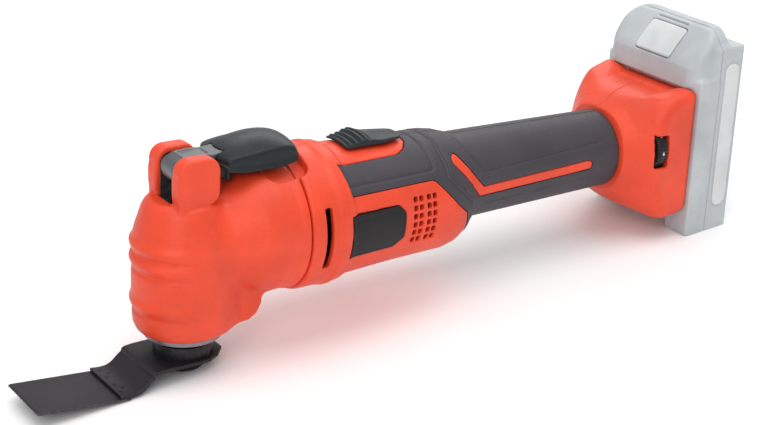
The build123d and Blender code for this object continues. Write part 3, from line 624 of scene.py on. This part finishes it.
PADDLE_RIDGE = curve_through([(11, 97.2), (15, 99.4), (22, 101.6), (31, 103.2), (41, 103.9), (49.5, 102.6),
                              (54.4, 99.4), (57, 96)])
PADDLE_PLAN = curve_through([(12.8, 8.0), (15, 13.0), (18.5, 15.6), (34, 16.4), (48, 16.2), (52.8, 15.0),
                             (54.7, 11.0)], 36)


def paddle_field(x, y, z):
    """The thumb plate: an arched shell with a thin lip all along its lower edge."""
    ridge_x, ridge_z = zip(*PADDLE_RIDGE)
    crown = np.interp(x, ridge_x, ridge_z) - 0.017 * y * y * np.interp(x, (18, 30, 55), (0.7, 1.0, 0.8))
    under = np.interp(x, (18, 24, 44, 55), (93.6, 93.0, 93.2, 94.4))
    under = under - np.maximum(np.abs(y) - 9, 0) ** 2 * 0.045
    plan = polygon(x, np.abs(y), [(12.8, -5)] + PADDLE_PLAN + [(54.7, -5)])
    dome = smooth_both(smooth_both((z - crown) * 0.85, under - z, 1.0), plan + 0.6, 1.6)
    lip = smooth_both(smooth_both(z - under - 1.7, under - z, 0.7), plan - 0.25, 0.7)
    hollow = smooth_both(z - 94.8, plan + 5.0, 1.0)
    lug = box(x, y, z, (18.4, -8, 85.2), (21, 8, 95), 0.6)
    paddle = smooth_union(smooth_cut(smooth_union(dome, lip, 0.6), hollow, 0.6), lug, 0.8)
    return smooth_cut(paddle, lever_arm_field(x, y, z) - 0.1, 0.3)


def make_head():
    piece("head_cover_visual", head_field, (-28, -35, 11), (51, 35, 101.5), 0.62, "housing", "orange_plastic",
          "head_cover")
    piece("lever_arm_visual", lever_arm_field, (-11, -8, 84), (25, 8, 101), 0.4, "lever", "lever_metal",
          "lever_arm")
    piece("lever_paddle_visual", paddle_field, (11.5, -17.5, 84), (56, 17.5, 105.5), 0.5, "lever",
          "dark_plastic", "lever_paddle")


# ---------------------------------------------------------------- switch and dial

def slider_field(x, y, z):
    """The thumb slider: a ribbed wedge, then a smooth tail that follows the body."""
    sag = 0.0155 * y * y
    top = np.interp(x, (83, 84.5, 88, 94.6, 98, 103, 118.5), (93.2, 94.0, 94.3, 96.5, 95.0, 93.8, 92.2)) - sag
    ribs = np.clip(np.minimum(x - 83.5, 99.5 - x), 0, 1) * 0.45 * (1 + np.cos((x - 84.6) * 2 * math.pi / 3.1))
    half = np.interp(x, (83, 86, 106, 116, 118.5), (9.2, 10.4, 9.8, 7.6, 5.0))
    under = np.interp(x, (83, 118), (91.95, 91.2)) - sag * 0.9
    shape = smooth_both(smooth_both(z - top + ribs, under - z, 0.5), np.abs(y) - half, 1.4)
    shape = smooth_both(shape, slab(x, 83, 118.5), 1.0)
    stem = box(x, y, z, (98, -3.8, 85), (104, 3.8, 93), 0.4)
    return np.minimum(shape, stem)


def dial_field(x, y, z):
    angle = np.arctan2(z - DIAL_Z, y - DIAL_Y)
    radius = np.hypot(y - DIAL_Y, z - DIAL_Z)
    edge = np.clip((np.abs(x - DIAL_X) - 1.6) / 0.4, 0, 1)
    knurl = 0.28 * edge * (1 + np.cos(angle * 40))
    wheel = smooth_both(radius - DIAL_R + knurl, np.abs(x - DIAL_X) - 3.3, 0.6)
    stub = np.maximum(radius - 2.4, slab(x, DIAL_X, 271.4))
    return np.minimum(wheel, stub)


def dial_number(digit, turn):
    """A raised numeral on the wheel's rim."""
    text = bpy.data.curves.new(f"dial_number_{digit}", "FONT")
    text.body = str(digit)
    text.size = 3.0 * MM
    text.extrude = 0.06 * MM
    text.align_x = "CENTER"
    text.align_y = "CENTER"
    obj = bpy.data.objects.new(f"dial_number_{digit}", text)
    bpy.context.scene.collection.objects.link(obj)
    angle = math.radians(turn)
    outward = Vector((0, -math.cos(angle), math.sin(angle)))
    across = Vector((1, 0, 0))
    up = outward.cross(across)
    place = Matrix((across, up, outward)).transposed().to_4x4()
    place.translation = Vector((DIAL_X, DIAL_Y, DIAL_Z)) * MM + outward * (DIAL_R + 0.02) * MM
    obj.matrix_world = place
    obj.data.materials.append(FINISHES["white_paint"])
    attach(obj, "speed_dial")


def make_controls():
    piece("switch_slider_visual", slider_field, (82, -11, 84.5), (119, 11, 97), 0.4, "slide_switch",
          "dark_plastic", "switch_slider")
    piece("speed_dial_visual", dial_field, (263, -37, 55), (272, -11.5, 81), 0.4, "speed_dial",
          "black_plastic", "speed_dial")
    for digit in range(1, 7):
        dial_number(digit, 45 * (6 - digit) - 2)


# ---------------------------------------------------------------- accessory

HUB_LINE = curve_through([(19, -0.8), (-19, -0.8), (-24.5, -3.4), (-30, -7.9), (-34.5, -9.2), (-41, -8.7)])
HUB_PLAN = ((-41, -5), (-41, 17.2), (2, 17.2), (6, 16.6), (12.4, 12.6), (17.6, 6.2), (17.6, -5))
HUB_PINS, HUB_PIN_RING, HUB_PIN_R = 8, 11.5, 1.5  # holes that take the flange's pins
WELDS = ((-38.2, -12.5), (-38.0, -4.0), (-38.1, 4.5), (-38.3, 12.5), (-35.6, -8.0), (-35.4, 8.5))


def hub_field(x, y, z):
    plate = line(x, z, HUB_LINE) - 0.8
    plate = smooth_both(plate, polygon(x, np.abs(y), HUB_PLAN), 0.5)
    plate = smooth_cut(plate, np.hypot(x, y) - 5.4, 0.3)
    for i in range(HUB_PINS):
        angle = 2 * math.pi * (i + 0.5) / HUB_PINS
        hole = np.hypot(x - HUB_PIN_RING * math.cos(angle), y - HUB_PIN_RING * math.sin(angle)) - HUB_PIN_R
        plate = smooth_cut(plate, hole, 0.3)
    for wx, wy in WELDS:
        plate = plate + np.where(z > -9.0, groove(np.hypot(x - wx, y - wy), 0.55, 0.8), 0)
    return plate


def make_accessory():
    piece("blade_hub_visual", hub_field, (-42, -18, -11), (18.5, 18, 0.8), 0.36, "accessory", "blade_steel",
          "blade_hub")


# ---------------------------------------------------------------- battery

BATTERY_FRONT, BATTERY_SPLIT, BATTERY_BACK = 288.3, 302.0, 318.5
BATTERY_Y = 37.7
BATTERY_BOTTOM, BATTERY_SHOULDER = 16.0, 121.0
PAST_BACK = 330.0
SLOPE, SLOPE_X, SLOPE_Z = math.radians(47.8), 284.4, 112.0  # the head's sloped face
LABEL = (305.2, 314.8, 31.3, 111.7)
LABEL_CORNER, LABEL_GAP = 4.5, 0.3
BUTTON = (0.0, 19.4)  # the button's seat along the slope
BUTTON_Y, BUTTON_GAP = 14.0, 0.35
HEAD_SIDE = ((283.4, 98.0), (283.4, 110.6), (299.4, 128.6), (303.0, 130.5), (308.5, 130.5), (308.5, 98.0))
HEAD_PLAN = ((283.4, -5), (283.4, 29), (288, 34), (294, 36.6), (310, 36.9), (310, -5))


def sloped(x, z):
    """Distances along and out of the head's sloped face, from its lower edge."""
    along = (x - SLOPE_X) * math.cos(SLOPE) + (z - SLOPE_Z) * math.sin(SLOPE)
    out = -(x - SLOPE_X) * math.sin(SLOPE) + (z - SLOPE_Z) * math.cos(SLOPE)
    return along, out


def battery_outer(x, y, z):
    lower = rectangle(x, y, BATTERY_FRONT, PAST_BACK, -BATTERY_Y, BATTERY_Y, 1.5)
    lower = smooth_both(lower, slab(z, BATTERY_BOTTOM, 104), 2.4)
    upper = rectangle(x, y, 300.0, PAST_BACK, -BATTERY_Y, BATTERY_Y, 3.0)
    upper = smooth_both(upper, slab(z, 90, BATTERY_SHOULDER), 2.4)
    body = smooth_union(lower, upper, 3.0)
    body = smooth_both(body, rectangle(x, y, 250, BATTERY_BACK, -BATTERY_Y, BATTERY_Y, 3.5), 0.8)
    head = polygon(x, z, HEAD_SIDE)
    head = smooth_both(head, polygon(x, np.abs(y), HEAD_PLAN), 5.0)
    head = smooth_both(head, np.hypot(np.maximum(np.abs(y) - 22, 0), np.maximum(z - 118, 0)) - 13.0, 1.5)
    whole = smooth_union(body, head, 3.0)
    label = rectangle(x, z, *LABEL, LABEL_CORNER) - LABEL_GAP
    return whole + np.where(np.abs(y) > BATTERY_Y - 1.7, groove(label, 0.35, 0.4), 0)


def battery_field(front):
    def field(x, y, z):
        outer = battery_outer(x, y, z)
        room = box(x, y, z, (295.3, -35, 18.7), (315.9, 35, 118.3), 3.0)
        shape = smooth_cut(outer, np.maximum(room, outer + 2.0), 0.5)
        tongue = box(x, y, z, (280, -20.3, 5), (294.3, 20.3, 96.3), 0.3)
        lips = box(x, y, z, (291.3, -24.3, 5), (294.3, 24.3, 96.3), 0.3)
        shape = smooth_cut(shape, np.minimum(tongue, lips), 0.4)
        along, out = sloped(x, z)
        seat = smooth_both(smooth_both(slab(along, *BUTTON), np.abs(y) - BUTTON_Y, 2.4), -out - 8.8, 0.5)
        shape = smooth_cut(shape, seat, 0.5)
        slot = smooth_both(slab(along, 21.4, 22.2), np.abs(y) - 12, 0.5)
        shape = smooth_cut(shape, np.maximum(slot, -out - 1.2), 0.4)
        half = x - (BATTERY_SPLIT - 0.06) if front else (BATTERY_SPLIT + 0.06) - x
        return smooth_both(shape, half, 0.4)
    return field


def button_field(x, y, z):
    along, out = sloped(x, z)
    plate = smooth_both(slab(along, *BUTTON) + BUTTON_GAP, np.abs(y) - BUTTON_Y + BUTTON_GAP, 2.4)
    crown = out - 0.75 + 0.0048 * (along - BUTTON[1] / 2) ** 2 + 0.0015 * y * y
    return smooth_both(smooth_both(plate, crown, 1.0), -out - 3.2, 0.3)


def label_field(x, y, z):
    """A blank printed strip let into each side of the battery."""
    strip = rectangle(x, z, *LABEL, LABEL_CORNER)
    return smooth_both(strip, np.abs(np.abs(y) - 37.45) - 0.35, 0.15)


def make_battery():
    piece("battery_front_visual", battery_field(True), (283, -38, 15.5), (302.2, 38, 131), 0.68, "battery",
          "pale_plastic", "battery_front_shell")
    piece("battery_rear_visual", battery_field(False), (301.8, -38, 15.5), (319, 38, 131), 0.68, "battery",
          "pale_plastic", "battery_rear_shell")
    for side, y0, y1 in (("left", -38.2, -37), ("right", 37, 38.2)):
        piece(f"battery_label_{side}", label_field, (304.5, y0, 30.5), (315.5, y1, 112.5), 0.35, "battery",
              "button_plastic")
    piece("battery_button_visual", button_field, (283, -14, 108), (301, 14, 128), 0.45, "battery_button",
          "button_plastic", "battery_button")


# ---------------------------------------------------------------- stage

def make_floor():
    """A pale sheet that the blade's bend and the battery's lower edge rest on."""
    blade = Vector((-36.0, 0, -11.4)) * MM
    battery = Vector((288.3, 0, 15.9)) * MM
    across = battery - blade
    size = 6.0
    mesh = bpy.data.meshes.new("floor")
    corners = [(-size, -size, 0), (size, -size, 0), (size, size, 0), (-size, size, 0)]
    mesh.from_pydata(corners, [], [(0, 1, 2, 3)])
    floor = bpy.data.objects.new("floor", mesh)
    bpy.context.scene.collection.objects.link(floor)
    floor.rotation_euler = (0, -math.atan2(across.z, across.x), 0)
    floor.location = blade
    material = bpy.data.materials.new("floor")
    material.use_nodes = True
    shader = material.node_tree.nodes["Principled BSDF"]
    place = material.node_tree.nodes.new("ShaderNodeTexCoord").outputs["Object"]
    tone = spread(material.node_tree, noise(material.node_tree, place, 9.0, 2.0), 0.3, 0.7, 0, 1)
    colour = blend_colour(material.node_tree, tone, (0.93, 0.93, 0.93), (0.96, 0.96, 0.96))
    material.node_tree.links.new(colour, shader.inputs["Base Color"])
    shader.inputs["Roughness"].default_value = 0.8
    mesh.materials.append(material)


def area_light(name, place, aim, size, watts):
    light = bpy.data.lights.new(name, "AREA")
    light.shape = "RECTANGLE"
    light.size, light.size_y = size
    light.energy = watts
    obj = bpy.data.objects.new(name, light)
    bpy.context.scene.collection.objects.link(obj)
    obj.location = place
    obj.rotation_euler = (Vector(aim) - Vector(place)).to_track_quat("-Z", "Y").to_euler()


def make_light():
    world = bpy.data.worlds.new("studio")
    world.use_nodes = True
    world.node_tree.nodes["Background"].inputs["Color"].default_value = (1, 1, 1, 1)
    world.node_tree.nodes["Background"].inputs["Strength"].default_value = 0.62
    bpy.context.scene.world = world
    middle = (0.12, 0.0, 0.05)
    area_light("overhead", (0.05, -0.15, 1.1), middle, (1.2, 0.8), 7)
    area_light("key", (-0.75, -0.85, 0.75), middle, (0.7, 0.7), 4.5)
    area_light("rim", (0.7, 0.7, 0.8), middle, (0.8, 0.5), 3)


SENSOR, LENS = 36.0, 84.25
CAMERA_PLACE = (-360.1, -684.9, 374.0)


def make_camera():
    camera = bpy.data.cameras.new("camera")
    camera.sensor_width = SENSOR
    camera.lens = LENS
    camera.clip_start = 0.01
    obj = bpy.data.objects.new("camera", camera)
    bpy.context.scene.collection.objects.link(obj)
    right = Vector((0.8322, -0.5531, 0.0403))
    down = Vector((-0.1700, -0.3237, -0.9308))
    forward = Vector((0.5277, 0.7678, -0.3634))
    turn = Matrix((right, -down, -forward)).transposed().to_4x4()
    turn.translation = Vector(CAMERA_PLACE) * MM
    obj.matrix_world = turn
    bpy.context.scene.camera = obj


make_camera()
make_floor()
make_light()
dress_cad_nodes()
make_housing()
make_head()
make_controls()
make_accessory()
make_battery()
bpy.context.scene.view_settings.view_transform = "Standard"
